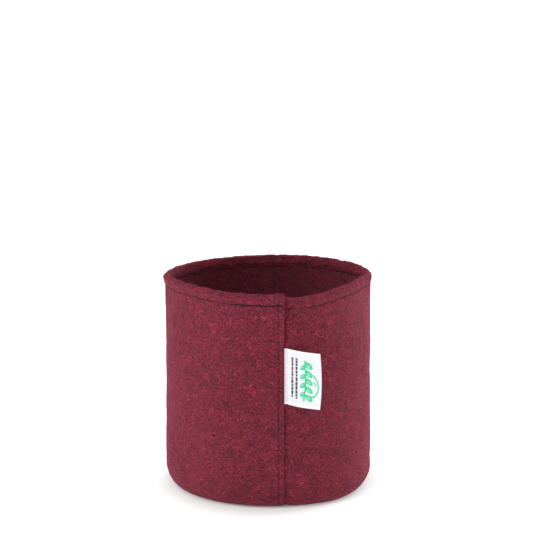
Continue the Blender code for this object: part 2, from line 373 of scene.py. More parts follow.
def felt_material(name, hem_v):
    """Needle-punched felt: red fibres matted into clumps, with crimson streaks and dark flecks."""
    n = Nodes(name)
    uv = cloth_vector(n)
    # A slow drift bends the streaks' directions from place to place.
    drift = n.node("ShaderNodeTexNoise", {"Vector": uv, "Scale": 60.0, "Detail": 1.0})
    bent = n.node("ShaderNodeVectorMath", {0: drift.outputs["Color"], 1: (-0.5, -0.5, 0.0)}, operation="ADD")
    scaled = n.node("ShaderNodeVectorMath", {0: bent.outputs[0], "Scale": 0.018}, operation="SCALE")
    place = n.node("ShaderNodeVectorMath", {0: uv, 1: scaled.outputs[0]}, operation="ADD").outputs[0]

    def streaks(angle_deg, scale, squeeze, shift):
        """One layer of fibres that lie roughly one way."""
        lines = n.stretched(place, math.radians(angle_deg), squeeze, shift)
        return n.noise(lines, scale, 2.0, 0.65)

    bright = n.math("MAXIMUM", streaks(48, 700.0, 0.20, 1.7), streaks(118, 660.0, 0.22, 7.1))
    dark = n.math("MINIMUM", streaks(38, 680.0, 0.28, 3.3), streaks(132, 640.0, 0.30, 9.9))
    grain = n.noise(place, 740.0, 1.0)
    fine = 0.0
    for i, angle in enumerate((-10, 38, 97, 151)):
        lines = n.stretched(place, math.radians(angle), 0.10, 5.3 * i + 1.7)
        fine = n.math("MAXIMUM", fine, n.ramp(n.noise(lines, 2600.0, 1.0), 0.50, 0.66))
    cloudy = n.noise(uv, 55.0, 3.0, 0.6)
    broad = n.noise(uv, 9.0)
    worn = n.noise(uv, 130.0)

    colour = FIBRE_RED
    for share, tone in (
        (n.ramp(bright, 0.55, 0.61), FIBRE_CRIMSON),
        (n.ramp(grain, 0.48, 0.38, 0.0, 0.95), DARK_FIBRE_AND_SHADE),
        (n.ramp(dark, 0.45, 0.40, 0.0, 0.92), DARK_FIBRE_AND_SHADE),
        (n.ramp(grain, 0.57, 0.64, 0.0, 0.80), FIBRE_CRIMSON),
        (n.math("MULTIPLY", fine, 0.25), FIBRE_CRIMSON),
        (n.ramp(worn, 0.62, 0.80, 0.0, 0.35), FIBRE_PINK),
        (n.ramp(cloudy, 0.35, 0.65, 0.0, 0.24), DARK_FIBRE_AND_SHADE),
        (n.ramp(broad, 0.38, 0.62, 0.0, 0.07), DARK_FIBRE_AND_SHADE),
    ):
        colour = n.mix(share, colour, tone)
    across, up, _ = n.node("ShaderNodeSeparateXYZ", {0: uv}).outputs

    def near(coordinate, line, width):
        """1 on a line across the cloth, 0 beyond its width."""
        off = n.math("ABSOLUTE", n.math("SUBTRACT", coordinate, line))
        return n.ramp(off, width * 0.35, width, 1.0, 0.0)

    # Painted shade: the wall's face inside the bag is darkened, standing in for the shade inside the bag.
    from_middle = n.math("ABSOLUTE", n.math("SUBTRACT", across, BACK_U + SHEET_LENGTH / 2))
    inside = n.math("LESS_THAN", from_middle, 0.6)
    colour = n.mix(n.math("MULTIPLY", inside, INSIDE_PAINTED_SHADE), colour, DARK_FIBRE_AND_SHADE)
    # Felt pressed down by stitching is darker, and the dark lines along the stitching also hold painted shade
    # of their grooves. Beside the lap's edge is a painted shadow of the lap.
    # The hem's line is darkest over the last few centimetres before the lap's outer end.
    taut = n.ramp(across, SHEET_LENGTH - 0.095, SHEET_LENGTH - 0.055, 0.14, 0.90)
    hem_press_and_shade = n.math("MULTIPLY", near(up, hem_v, 0.0028), taut)
    hem_press_and_shade = n.math("MULTIPLY", hem_press_and_shade, n.math("LESS_THAN", across, BACK_U - 0.5))
    seam_press_and_shade = n.math("MULTIPLY", near(across, SHEET_LENGTH - SEAM_INSET, 0.0014), 0.36)
    # Painted shadow of the lap's edge, strongest high up, where the lap stands off most.
    beside_lap = n.ramp(up, hem_v - 0.10, hem_v - 0.03, 0.26, 0.97)
    lap_painted_shadow = n.math("MULTIPLY", near(across, LAP_WIDTH + 0.0004, 0.0026), beside_lap)
    for line in (hem_press_and_shade, seam_press_and_shade, lap_painted_shadow):
        colour = n.mix(line, colour, DARK_FIBRE_AND_SHADE)
    relief = n.math("ADD", n.math("MULTIPLY", bright, 0.6), n.math("MULTIPLY", dark, 0.6))
    relief = n.math("ADD", relief, n.math("MULTIPLY", fine, 0.25))
    n.shade(Base_Color=colour, Roughness=0.95, Specular_IOR_Level=0.12)
    n.shade(Sheen_Weight=0.46, Sheen_Roughness=0.20, Sheen_Tint=SHEEN_RED)
    n.shade(Normal=n.bump(relief, 0.0010))
    return n.material


def thread_material(name, dark, light):
    """Twisted polyester thread."""
    n = Nodes(name)
    uv = cloth_vector(n)
    twist = n.stretched(uv, math.radians(35), 0.2)
    ply = n.noise(twist, 2400.0, 1.0)
    n.shade(Base_Color=n.mix(ply, dark, light))
    n.shade(Roughness=0.7, Specular_IOR_Level=0.3, Normal=n.bump(ply, 0.0001))
    return n.material


def fibre_material():
    """Loose fibres: each strand takes its tone from where it stands."""
    n = Nodes("loose_fibre")
    place = n.node("ShaderNodeTexCoord").outputs["Object"]
    tone = n.noise(place, 700.0, 1.0)
    n.shade(Base_Color=n.mix(n.ramp(tone, 0.4, 0.6), WISP_DARK, WISP_LIGHT))
    n.shade(Roughness=0.9, Specular_IOR_Level=0.2)
    n.shade(Sheen_Weight=0.3, Sheen_Roughness=0.35, Sheen_Tint=SHEEN_RED)
    return n.material


# ------------------------
# Felt wall, from the bottom up: base seam, corner, plain wall, the hem's outer leaf, fold and inner leaf
# ------------------------
CLOSE_COLUMNS = 0.012
LAP_COLUMNS = 0.026
FOLD_STEPS = 12
EASE_BELOW_HEM = 0.026
# The gap between the hem's leaves at its stitching and its fold, and what the creases at the sides add to it.
CLOSED_GAP = 0.0003
OPEN_GAP = 0.0019
CREASE_GAP = 0.0028
# The hem's raw edge inside the bag is pressed thin.
RAW_EDGE = 0.0007
# The outer end of the rim drops and is rounded.
END_DROP = 0.0030
END_ROUND = 0.0045
# Unevenness of the rim's height, of the whole wall, of its surface, and of the rim and the hem.
RIM_WAVE = 0.0005
RIM_RIPPLE = 0.00045
WALL_WAVE = 0.0005
WALL_RIPPLE = 0.00032
SURFACE_RELIEF = 0.00016
RIM_RELIEF = 0.00055
RIM_SURFACE_RELIEF = 0.00022
HEM_PUCKER = 0.00025
# Where stitching and the lap draw the felt in or lift it.
HEM_TIGHT = 0.00035
SEAM_GROOVE = 0.0006
LAP_LIFT = 0.0016
LAP_DIP = 0.0016
# The wall swells low down at the front right and at both sides.
FRONT_SWELL = 0.0042
SIDE_SWELL = 0.0011


def wall_columns():
    """Arc positions along the sheet, closer together at its two cut ends and beside the lap."""
    close = np.linspace(0.0, CLOSE_COLUMNS, 17)
    beside = np.linspace(CLOSE_COLUMNS, LAP_COLUMNS, 19)
    middle = np.linspace(LAP_COLUMNS, SHEET_LENGTH - CLOSE_COLUMNS, 272)
    return np.concatenate([close[:-1], beside[:-1], middle, SHEET_LENGTH - close[::-1][1:]])


def wall_middle(s):
    """Grid of the felt's middle (rows, columns, 3), its thickness, and the row numbers that matter."""
    angle = LAP_START + s / RADIUS
    beyond = (angle - LAP_EDGE) * RADIUS
    tucked = 1 - smooth(beyond / LAP_EASE)
    low = (FELT + LAP_GAP) * tucked
    high = (2 * FELT + HEM_GAP + LAP_GAP) * tucked
    raised = (FELT + LAP_GAP) * (1 - smooth(beyond / FLOOR_EASE))
    from_edge = SHEET_LENGTH - s

    rim = HEIGHT + read_table(RIM_RISE, angle)
    rim = rim + RIM_WAVE * ring(angle, 5, range(5, 12)) + RIM_RIPPLE * rolling(s, 0 * s, 8, 0.007, 0.026)
    rim = rim - END_DROP * (1 - np.minimum(from_edge / END_ROUND, 1.0)) ** 2

    half = FELT / 2
    floor = half + raised
    side = RADIUS - half - low
    seam = SEAM_RADIUS + (FELT + HEM_GAP) / 2 + raised
    corner_in = read_table(CORNER_REACH, angle) - half - low
    corner_up = read_table(CORNER_RISE, angle) - half - raised
    rows, thickness = [], []

    def add(r, z, t=FELT):
        rows.append((r + 0 * s, z + 0 * s))
        thickness.append(t + 0 * s)

    for share in np.linspace(1, 0, 5)[:-1]:
        add(seam, floor + SEAM_FOLD + ALLOWANCE * share)
    for turn in np.radians(np.linspace(180, 270, 7)):
        add(seam + SEAM_FOLD + SEAM_FOLD * math.cos(turn), floor + SEAM_FOLD + SEAM_FOLD * math.sin(turn))
    corner_row = len(rows) - 1
    for turn in np.radians(np.linspace(270, 360, 17))[1:]:
        add(side - corner_in + corner_in * math.cos(turn), floor + corner_up + corner_up * math.sin(turn))
    bottom = floor + corner_up
    hem = rim - HEM_DEPTH
    ease_low = hem - EASE_BELOW_HEM
    for share in np.linspace(0, 1, 67)[1:]:
        add(side, bottom + (ease_low - bottom) * share)
    for share in np.linspace(0, 1, 11)[1:]:
        add(side + (low - high) * smooth(share), ease_low + (hem - ease_low) * share)
    # Hem: its two leaves part towards the rim, are pinched at the stitching, and meet in a round fold.
    outer = RADIUS - half - high
    # It gapes most at the sides, where the flat-packed bag was creased.
    crease = bump(angle, math.radians(270), 0.16) + 0.5 * bump(angle, math.radians(92), 0.16)
    open_gap = OPEN_GAP + CREASE_GAP * crease
    stitch_share = (HEM_DEPTH - STITCH_DEPTH) / HEM_DEPTH
    near_stitch = stitch_share + np.array([-0.0012, -0.0006, 0.0, 0.0006, 0.0012, 0.0020]) / HEM_DEPTH
    hem_share = np.concatenate([near_stitch, np.linspace(near_stitch[-1], 1, 14)[1:]])
    fold = (FELT + open_gap) / 2
    fold_z = rim - half - fold
    swell = open_gap - CLOSED_GAP
    # The stitching is tightest towards the outer end of the lap.
    taut = bump(angle, LAP_EDGE + TURN - 0.16, 0.26)
    tight = HEM_TIGHT + 0.00055 * taut

    def leaf(share, sunk):
        """How far a leaf stands off, and its thickness, from the hem's raw edge (0) to its fold (1)."""
        pinch = bump(share, stitch_share, 0.13)
        groove = (0.0004 + 0.0006 * taut) * bump(share, stitch_share, 0.0011 / HEM_DEPTH)
        off = swell / 2 * smooth((share - stitch_share) / 0.5) - sunk * (tight * pinch + groove)
        return off, FELT * (1 - 0.22 * pinch)

    for share in hem_share:
        off, thick = leaf(share, 1.0)
        add(outer + off, hem + (fold_z - hem) * share, thick)
        if share == near_stitch[2]:
            stitch_row = len(rows) - 1
    centre = outer + swell / 2 - fold
    for turn in np.radians(np.linspace(0, 180, FOLD_STEPS + 1))[1:]:
        add(centre + fold * math.cos(turn), fold_z + fold * math.sin(turn))
    fold_row = len(rows) - 1 - FOLD_STEPS // 2
    for share in hem_share[::-1][1:]:
        off, thick = leaf(share, 0.05)
        thin = smooth((share - stitch_share + 0.05) / 0.45)
        off = off - RAW_EDGE * (1 - thin)
        add(outer - FELT - CLOSED_GAP - off, hem + (fold_z - hem) * share, thick - 0.0012 * (1 - thin))
        if share == near_stitch[2]:
            inner_stitch_row = len(rows) - 1
    add(outer - FELT - CLOSED_GAP + 0.0012, hem + 0 * hem, RAW_EDGE)

    r = np.array([row[0] for row in rows])
    z = np.array([row[1] for row in rows])
    reach = read_table(RIM_REACH, angle) * smooth((z - REACH_START) / (hem - REACH_START))
    # The outer end lifts off the lap beyond its stitching, most at the hem. The layer below dips beside it.
    lift = LAP_LIFT * smooth((0.010 - from_edge) / 0.010) * smooth((z - 0.235) / 0.05)
    lift = lift - LAP_DIP * bump(s, LAP_WIDTH + 0.0008, 0.0016) * smooth((z - 0.03) / 0.15)
    groove = SEAM_GROOVE * bump(from_edge, SEAM_INSET, 0.0016) * smooth((z - 0.004) / 0.01)
    # Soft unevenness of a cloth bag, least at the base seam.
    loose = smooth((r - SEAM_RADIUS - 0.004) / 0.014) * smooth(z / 0.03)
    drift = WALL_WAVE * ring(angle, 11, (2, 3, 4, 5)) + WALL_RIPPLE * rolling(s + 0 * z, z, 3, 0.03, 0.12)
    past_seam = smooth((r - SEAM_RADIUS - 0.003) / 0.008)
    front = past_seam * (1 - smooth((z - 0.02) / 0.12)) * bump(angle, math.radians(42), 0.45)
    sides = 1.2 * bump(angle, math.radians(90), 0.60) + bump(angle, math.radians(270), 0.60)
    sides = sides * past_seam * (1 - smooth((z - 0.06) / 0.12))
    bulge = FRONT_SWELL * front + SIDE_SWELL * sides
    at_rim = smooth((z - (hem - 0.004)) / 0.012)
    drift = drift + at_rim * RIM_RELIEF * rolling(s + 0 * z, z, 41, 0.008, 0.022)
    pucker = HEM_PUCKER * rolling(s + 0 * z, 0 * z, 43, 0.008, 0.016) * bump(z, rim - STITCH_DEPTH, 0.006)
    r = r + reach + lift - groove + loose * drift + bulge + pucker
    points = np.stack([r * np.sin(angle), -r * np.cos(angle), z], axis=-1)
    marks = {"stitch": stitch_row, "inner_stitch": inner_stitch_row, "fold": fold_row, "corner": corner_row}
    return points, np.array(thickness), marks


def along_rows(points):
    """Length up each column of a grid from its first row."""
    steps = np.linalg.norm(np.diff(points, axis=0), axis=-1)
    return np.concatenate([np.zeros((1, points.shape[1])), np.cumsum(steps, axis=0)])


def make_wall():
    """The wall, still without its material, and what else is built from its grids."""
    s = wall_columns()
    middle, thickness, marks = wall_middle(s)
    v = along_rows(middle).mean(axis=1)[:, None] + 0 * s
    u = s + 0 * v
    front_relief = SURFACE_RELIEF * rolling(u, v, 21, 0.007, 0.02)
    to_rim = bump(v, v[marks["fold"]], 0.012)
    front_relief = front_relief + RIM_SURFACE_RELIEF * to_rim * rolling(u, v, 23, 0.004, 0.010)
    back_relief = SURFACE_RELIEF * rolling(u, v, 22, 0.007, 0.02)
    front, back = two_sided(middle, thickness, front_relief, back_relief)
    wall = sheet_object("felt_wall", front, back, u, v, CUT_SWELL, [])
    stitch_v = float(v[marks["stitch"], 0])
    return wall, {"s": s, "front": front, "back": back, "stitch_v": stitch_v, **marks}


# ------------------------
# Felt base
# ------------------------
BASE_RELIEF = 0.0003


def make_base(materials):
    """The disc inside the base seam, with its edge turned up."""
    columns = 240
    angle = np.arange(columns) * TURN / columns
    half = FELT / 2
    side = SEAM_RADIUS - (FELT + HEM_GAP) / 2
    profile = [(r, half) for r in np.linspace(0.004, side - SEAM_FOLD, 34)]
    for turn in np.radians(np.linspace(270, 360, 7))[1:]:
        out, up = SEAM_FOLD * math.cos(turn), SEAM_FOLD * math.sin(turn)
        profile.append((side - SEAM_FOLD + out, half + SEAM_FOLD + up))
    for share in np.linspace(0, 1, 5)[1:]:
        profile.append((side, half + SEAM_FOLD + ALLOWANCE * share))
    profile = np.array(profile)
    r, z = profile[:, :1] + 0 * angle, profile[:, 1:] + 0 * angle
    middle = np.stack([r * np.sin(angle), -r * np.cos(angle), z], -1)
    v = along_rows(middle)
    flat = np.stack([v * np.sin(angle), -v * np.cos(angle)], -1)
    lift = BASE_RELIEF * rolling(flat[..., 0], flat[..., 1], 31, 0.02, 0.09)
    lift = lift * smooth((SEAM_RADIUS - 0.01 - r) / 0.01)
    back, front = two_sided(middle, FELT + 0 * r, 0.0 * r, np.abs(lift), closed=True)
    rows = len(profile)
    size = rows * columns
    points = [front.reshape(-1, 3), back.reshape(-1, 3)]
    faces = [grid_faces(rows, columns, closed=True), grid_faces(rows, columns, size, flip=True, closed=True)]
    uv = [flat.reshape(-1, 2) + BASE_INSIDE_UV, flat.reshape(-1, 2) + BASE_UNDER_UV]
    edge = cut_edge(front[-1], back[-1], middle[-2], CUT_SWELL)
    points.append(edge.reshape(-1, 3))
    faces.append(grid_faces(len(edge), columns, 2 * size, closed=True))
    run = SEAM_RADIUS * angle + np.zeros((len(edge), 1))
    across = np.arange(len(edge))[:, None] * 0.0008 + BASE_EDGE_V + 0 * run
    uv.append(np.stack([run, across], -1).reshape(-1, 2))
    points = np.concatenate(points)
    faces = np.concatenate(faces).tolist()
    faces.append(list(range(columns))[::-1])
    faces.append(list(range(size, size + columns)))
    base = mesh_object("felt_base", points, faces, np.concatenate(uv), materials)
    weld(base)
    return base


# ------------------------
# Stitching
# ------------------------
def tubes(paths, radius, sides=6):
    """Round tubes along many paths of equal point count, with closed ends. paths is (n, points, 3)."""
    paths = np.asarray(paths, float)
    count, steps = paths.shape[:2]
    tangent = np.gradient(paths, axis=1)
    tangent /= np.linalg.norm(tangent, axis=-1, keepdims=True)
    up = np.where(np.abs(tangent[..., 2:]) > 0.9, [[[1.0, 0.0, 0.0]]], [[[0.0, 0.0, 1.0]]])
    side = np.cross(tangent, up)
    side /= np.linalg.norm(side, axis=-1, keepdims=True)
    other = np.cross(tangent, side)
    radius = np.broadcast_to(np.asarray(radius, float), (count, steps))[..., None, None]
    turn = np.arange(sides) * TURN / sides
    circle = np.cos(turn)[:, None] * side[:, :, None] + np.sin(turn)[:, None] * other[:, :, None]
    points = paths[:, :, None] + radius * circle
    one = grid_faces(steps, sides, closed=True)
    faces = np.concatenate([one + i * steps * sides for i in range(count)]).tolist()
    for i in range(count):
        first = i * steps * sides
        last = first + (steps - 1) * sides
        faces.append(list(range(first, first + sides))[::-1])
        faces.append(list(range(last, last + sides)))
    between = np.linalg.norm(np.diff(paths, axis=1), axis=-1)
    lengths = np.concatenate([np.zeros((count, 1)), np.cumsum(between, 1)], 1)
    across = np.broadcast_to(turn * 0.0004, (count, steps, sides))
    uv = np.stack([np.broadcast_to(lengths[..., None], across.shape), across], -1)
    return points.reshape(-1, 3), faces, uv.reshape(-1, 2)


def row_line(grid, row, columns_at):
    """Points on one row of a grid, at fractional column numbers."""
    line = grid[row]
    number = np.arange(len(line))
    return np.stack([np.interp(columns_at, number, line[:, k]) for k in range(3)], -1)


def stitches(name, line, normal, pitch, mat):
    """Separate stitches along a line of points: each dives into the felt at both ends."""
    length = np.concatenate([[0], np.cumsum(np.linalg.norm(np.diff(line, axis=0), axis=-1))])
    count = int(length[-1] // pitch)
    starts = (length[-1] - count * pitch) / 2 + np.arange(count) * pitch + pitch * (1 - STITCH_SHARE) / 2
    share = np.array([0.0, 0.10, 0.30, 0.5, 0.70, 0.90, 1.0])
    height = np.array([-2.6, -0.5, 0.55, 0.8, 0.55, -0.5, -2.6]) * THREAD_RADIUS + STITCH_STAND
    where = starts[:, None] + share * pitch * STITCH_SHARE
    base = np.stack([np.interp(where, length, line[:, k]) for k in range(3)], -1)
    out = np.stack([np.interp(where, length, normal[:, k]) for k in range(3)], -1)
    out /= np.linalg.norm(out, axis=-1, keepdims=True)
    points, faces, uv = tubes(base + out * height[:, None], THREAD_RADIUS)
    return mesh_object(name, points, faces, uv, [mat])


def make_stitching(wall, threads):
    """Hem, side seam and base seam, each with its outer and its inner row."""
    s, front, back = wall["s"], wall["front"], wall["back"]
    front_normal, back_normal = surface_normals(front), -surface_normals(back)
    column = np.arange(len(s))
    made = {}

    def hem(name, grid, normal, row, first, last):
        keep = np.interp([first, last], s, column)
        at = np.linspace(*keep, 900)
        thread = threads[name.split("_")[-1]]
        lines = row_line(grid, row, at), row_line(normal, row, at)
        made[name] = stitches(name, *lines, STITCH_PITCH, thread)

    hem("hem_stitches_outside", front, front_normal, wall["stitch"], LAP_WIDTH + 0.001, SHEET_LENGTH - 0.001)
    hem("hem_stitches_inside", front, front_normal, wall["inner_stitch"], 0.001, TURN * RADIUS - 0.001)

    def column_line(grid, at, low_row, high_row):
        k = np.interp(at, s, column)
        a = int(math.floor(k))
        return grid[low_row:high_row, a] * (a + 1 - k) + grid[low_row:high_row, a + 1] * (k - a)

    # The outside row runs from just above the corner to just below the fold.
    at = SHEET_LENGTH - SEAM_INSET
    rows = (wall["corner"] + 5, wall["fold"] - 3)
    lines = column_line(front, at, *rows), column_line(front_normal, at, *rows)
    name = "side_seam_stitches_outside"
    made[name] = stitches(name, *lines, STITCH_PITCH, threads["outside"])
    # The inside row goes up the wall's back to the hem, then on over the hem's inner leaf.
    at = LAP_WIDTH - SEAM_INSET
    low = (wall["corner"] + 8, wall["stitch"] - 3)
    high = (wall["fold"] + 4, front.shape[0] - 1)
    lines = [
        np.concatenate([column_line(lower, at, *low), column_line(upper, at, *high)[::-1]])
        for lower, upper in ((back, front), (back_normal, front_normal))
    ]
    name = "side_seam_stitches_inside"
    made[name] = stitches(name, *lines, STITCH_PITCH, threads["inside"])

    def outwards(angle):
        return np.stack([np.sin(angle), -np.cos(angle), 0 * angle], -1)

    height = FELT / 2 + BASE_STITCH
    out = outwards(np.linspace(0, TURN, 721))
    inner = out * (SEAM_RADIUS - HEM_GAP / 2 - FELT) + [0, 0, height]
    name = "base_seam_stitches_inside"
    made[name] = stitches(name, inner, -out, BASE_STITCH_PITCH, threads["inside"])
    # Outside, the row rises and stands out with the wall where the lap begins.
    s = s[s < TURN * RADIUS - 0.002]
    depth = (FELT + LAP_GAP) * (1 - smooth((s - LAP_WIDTH) / FLOOR_EASE))
    out = outwards(LAP_START + s / RADIUS)
    r = SEAM_RADIUS + HEM_GAP / 2 + FELT + depth
    outer = out * r[:, None] + np.stack([0 * r, 0 * r, height + depth], -1)
    name = "base_seam_stitches_outside"
    made[name] = stitches(name, outer, out, BASE_STITCH_PITCH, threads["outside"])
    return made


# ------------------------
# Label: u runs from the seam to its free edge, v up it
# ------------------------
def label_path():
    """Fine samples of the label seen from above: u, x, y and heading."""
    u = np.linspace(-LABEL_TAB, LABEL_LENGTH + 0.002, 600)
    start = math.atan2(HINGE.x, -HINGE.y)
    wrapped = start + np.minimum(u, 0.0) / RADIUS
    turned = smooth(u / LABEL_LEAVE)
    free = np.maximum(u - LABEL_LEAVE / 2, 0.0)
    heading = wrapped - turned * LABEL_STAND + free / LABEL_BEND_RADIUS
    step = u[1] - u[0]
    x = np.concatenate([[0], np.cumsum(np.cos(heading[:-1]) * step)])
    y = np.concatenate([[0], np.cumsum(np.sin(heading[:-1]) * step)])
    x += HINGE.x - np.interp(0.0, u, x)
    y += HINGE.y - np.interp(0.0, u, y)
    return u, x, y, heading


LABEL_PATH = label_path()


def on_label(u, v, lift=0.0):
    """Points on the label's middle, or lifted towards its printed side."""
    u, v, lift = np.broadcast_arrays(np.asarray(u, float), np.asarray(v, float), np.asarray(lift, float))
    samples, x, y, heading = LABEL_PATH
    side = np.interp(u, samples, heading)
    across = 2 * v / LABEL_HEIGHT - 1
    free = smooth((u - 0.008) / 0.03)
    curl = -LABEL_CURL * free * across**2 * (u / LABEL_LENGTH) ** 2
    ripple = LABEL_RIPPLE * free * np.sin(TURN * (v / LABEL_HEIGHT * 0.8 + u / LABEL_LENGTH * 0.5) + 0.6)
    out = lift + curl + ripple
    px = np.interp(u, samples, x) + np.sin(side) * out
    py = np.interp(u, samples, y) - np.cos(side) * out
    pz = FLAP_LOW.z + v - np.maximum(u - 0.002, 0.0) * math.tan(LABEL_TILT)
    return np.stack([px, py, pz], -1)


# Steps in from an edge of the label: close together at the edge and where its border band ends.
BORDER_STEPS = np.array(
    [0.0, 0.0003, 0.0008, 0.0016, LABEL_BORDER - 0.0008, LABEL_BORDER - 0.0003, LABEL_BORDER + 0.0002]
)
PAST_BORDER = LABEL_BORDER + 0.0012


def label_thickness(u, v, length):
    """Thicker in the folded-back border bands, which swell slightly, and rounded at the very edge."""
    from_edge = np.minimum(np.minimum(v, LABEL_HEIGHT - v), length - u)
    band = 1 - smooth((from_edge - (LABEL_BORDER - 0.0005)) / 0.0006)
    swell = 0.00018 * np.sin(np.clip(from_edge / LABEL_BORDER, 0, 1) * math.pi)
    edge = 0.5 + 0.5 * smooth(from_edge / 0.0008)
    return (LABEL_THICKNESS + band * (0.00035 + swell)) * edge


def make_label(mat):
    """The label with its tab under the lap. Its free edge bows, so it is longest at mid height."""
    inside = np.linspace(PAST_BORDER, LABEL_HEIGHT - PAST_BORDER, 40)
    v = np.concatenate([BORDER_STEPS, inside, LABEL_HEIGHT - BORDER_STEPS[::-1]])
    tab = np.linspace(-LABEL_TAB, 0.0, 8)[:-1]
    leave = np.linspace(0.0, LABEL_LEAVE, 12)[:-1]
    middle = np.linspace(LABEL_LEAVE, LABEL_LENGTH - PAST_BORDER, 40)
    u = np.concatenate([tab, leave, middle, LABEL_LENGTH - BORDER_STEPS[::-1]])
    u, v = u[None, :] + 0 * v[:, None], v[:, None] + 0 * u[None, :]
    bow = 1 - LABEL_BOW * (2 * v / LABEL_HEIGHT - 1) ** 2
    length = LABEL_LENGTH * bow
    u = np.where(u > 0, u * bow, u)
    thick = label_thickness(u, v, length)
    front = on_label(u, v, thick / 2)
    back = on_label(u, v, -thick / 2)
    label = sheet_object("woven_label", front, back, u, v, 0.00008, [mat])
    return label


def ribbon(points, width):
    """Three rows of (u, v), beside a line on both sides and on it, for a stroke of even width."""
    tangent = np.gradient(points, axis=0)
    tangent /= np.linalg.norm(tangent, axis=-1, keepdims=True)
    normal = np.stack([-tangent[:, 1], tangent[:, 0]], -1)
    return np.stack([points - normal * width / 2, points, points + normal * width / 2])


def curve(start, middle, end, steps=22):
    """A quadratic curve from start to end, pulled towards middle."""
    share = np.linspace(0, 1, steps)[:, None]
    start, middle, end = np.array(start), np.array(middle), np.array(end)
    return start * (1 - share) ** 2 + middle * 2 * share * (1 - share) + end * share**2


def leaf_strokes(root, tip, belly, width):
    """Outline and midrib of a leaf."""
    root, tip = np.array(root), np.array(tip)
    along = tip - root
    side = np.array([-along[1], along[0]]) * belly
    half = (root + tip) / 2
    return [
        (curve(root, half + side, tip), width),
        (curve(root, half - side, tip), width),
        (curve(root, half + side * 0.15, root + along * 0.8), width * 0.7),
    ]


def printed(name, strokes, mat):
    """Ink strokes as thin closed strips on the label's printed side."""
    points, faces, uv = [], [], []
    offset = 0
    for line, width in strokes:
        grid = ribbon(line, width)
        base = label_thickness(grid[..., 0], grid[..., 1], LABEL_LENGTH) / 2
        top = on_label(grid[..., 0], grid[..., 1], base + INK_LIFT)
        low = on_label(grid[..., 0], grid[..., 1], base - INK_SINK)
        rows, columns = grid.shape[:2]
        points += [top.reshape(-1, 3), low.reshape(-1, 3)]
        size = rows * columns
        faces += grid_faces(rows, columns, offset).tolist()
        faces += grid_faces(rows, columns, offset + size, flip=True).tolist()
        index = np.arange(size).reshape(rows, columns)
        edge = np.concatenate([index[0], index[1:, -1], index[-1, -2::-1], index[-2:0:-1, 0]])
        for a, b in zip(edge, np.roll(edge, -1)):
            faces.append([offset + int(b), offset + int(a), offset + size + int(a), offset + size + int(b)])
        uv += [grid.reshape(-1, 2), grid.reshape(-1, 2)]
        offset += 2 * size
    obj = mesh_object(name, np.concatenate(points), faces, np.concatenate(uv), [mat])
    weld(obj)
    return obj


def small_print():
    """Two rows of short bars, like lines of small print seen from afar."""
    rng = np.random.default_rng(12)
    strokes = []
    for u, low, high in ((0.0130, 0.0150, 0.0705), (0.0200, 0.0130, 0.0705)):
        v = high
        while v > low:
            length = rng.uniform(0.0022, 0.0060)
            stroke = np.stack([np.full(4, u), np.linspace(v, v - length, 4)], -1)
            strokes.append((stroke, rng.uniform(0.0028, 0.0036)))
            v -= length + rng.uniform(0.0006, 0.0011)
    return strokes


def emblem():
    """A row of leaves on a stem, with a seedling's arch over it: a plain garden emblem."""
    strokes = [(curve((0.0330, 0.0690), (0.0365, 0.0400), (0.0315, 0.0100), 40), 0.0027)]
    for i in range(5):
        v = 0.0660 - i * 0.0118
        strokes += leaf_strokes((0.0345, v), (0.0440, v - 0.0075), 0.46, 0.0024)
    for i in range(4):
        v = 0.0620 - i * 0.0130
        strokes += leaf_strokes((0.0335, v), (0.0268, v - 0.0070), 0.46, 0.0021)
    strokes.append((curve((0.0455, 0.0500), (0.0600, 0.0330), (0.0480, 0.0190), 40), 0.0022))
    strokes.append((curve((0.0480, 0.0190), (0.0455, 0.0150), (0.0430, 0.0190), 16), 0.0022))
    strokes.append((curve((0.0460, 0.0400), (0.0485, 0.0370), (0.0500, 0.0330), 12), 0.0017))
    return strokes


def label_material():
    """White satin ribbon, brighter in its doubled borders, with fine ribs across it, and painted light on the
    strip beside the seam.
    """
    n = Nodes("label_satin")
    uv = cloth_vector(n)
    parts = n.node("ShaderNodeSeparateXYZ", {0: uv}).outputs
    ribs = n.node("ShaderNodeTexWave", {"Vector": uv, "Scale": 430.0, "Distortion": 0.4}, bands_direction="Y")
    shade = n.noise(uv, 60.0, 2.0)
    low = n.ramp(parts[1], LABEL_BORDER, LABEL_BORDER + 0.0006)
    high = n.ramp(parts[1], LABEL_HEIGHT - LABEL_BORDER, LABEL_HEIGHT - LABEL_BORDER - 0.0006)
    inner = n.math("MULTIPLY", low, high)
    colour = n.mix(n.ramp(shade, 0.3, 0.7), (0.66, 0.665, 0.71, 1.0), (0.73, 0.74, 0.765, 1.0))
    colour = n.mix(inner, (0.80, 0.80, 0.82, 1.0), colour)
    # Painted light: the strip beside the seam, which faces away from the key light, is painted lighter, in a
    # lavender tint.
    seam_painted_light = n.ramp(parts[0], 0.016, 0.003, 0.0, 0.75)
    colour = n.mix(seam_painted_light, colour, (0.90, 0.88, 0.95, 1.0))
    n.shade(Base_Color=colour, Roughness=0.38, Specular_IOR_Level=0.5, Anisotropic=0.4)
    n.shade(Sheen_Weight=0.2, Sheen_Roughness=0.3)
    n.shade(Normal=n.bump(ribs.outputs["Fac"], 0.00006, 0.6))
    return n.material


def ink_material(name, colour, faded):
    """Printed ink, a little uneven where the weave shows through."""
    n = Nodes(name)
    uv = cloth_vector(n)
    patchy = n.noise(uv, 900.0, 2.0)
    n.shade(Base_Color=n.mix(n.ramp(patchy, 0.45, 0.75), colour, faded), Roughness=0.45)
    n.shade(Normal=n.bump(patchy, 0.00003, 0.5))
    return n.material


# ------------------------
# Loose fibres
# ------------------------
LEAST_HEIGHT = 0.0002
ROOT_DEPTH = 0.0002


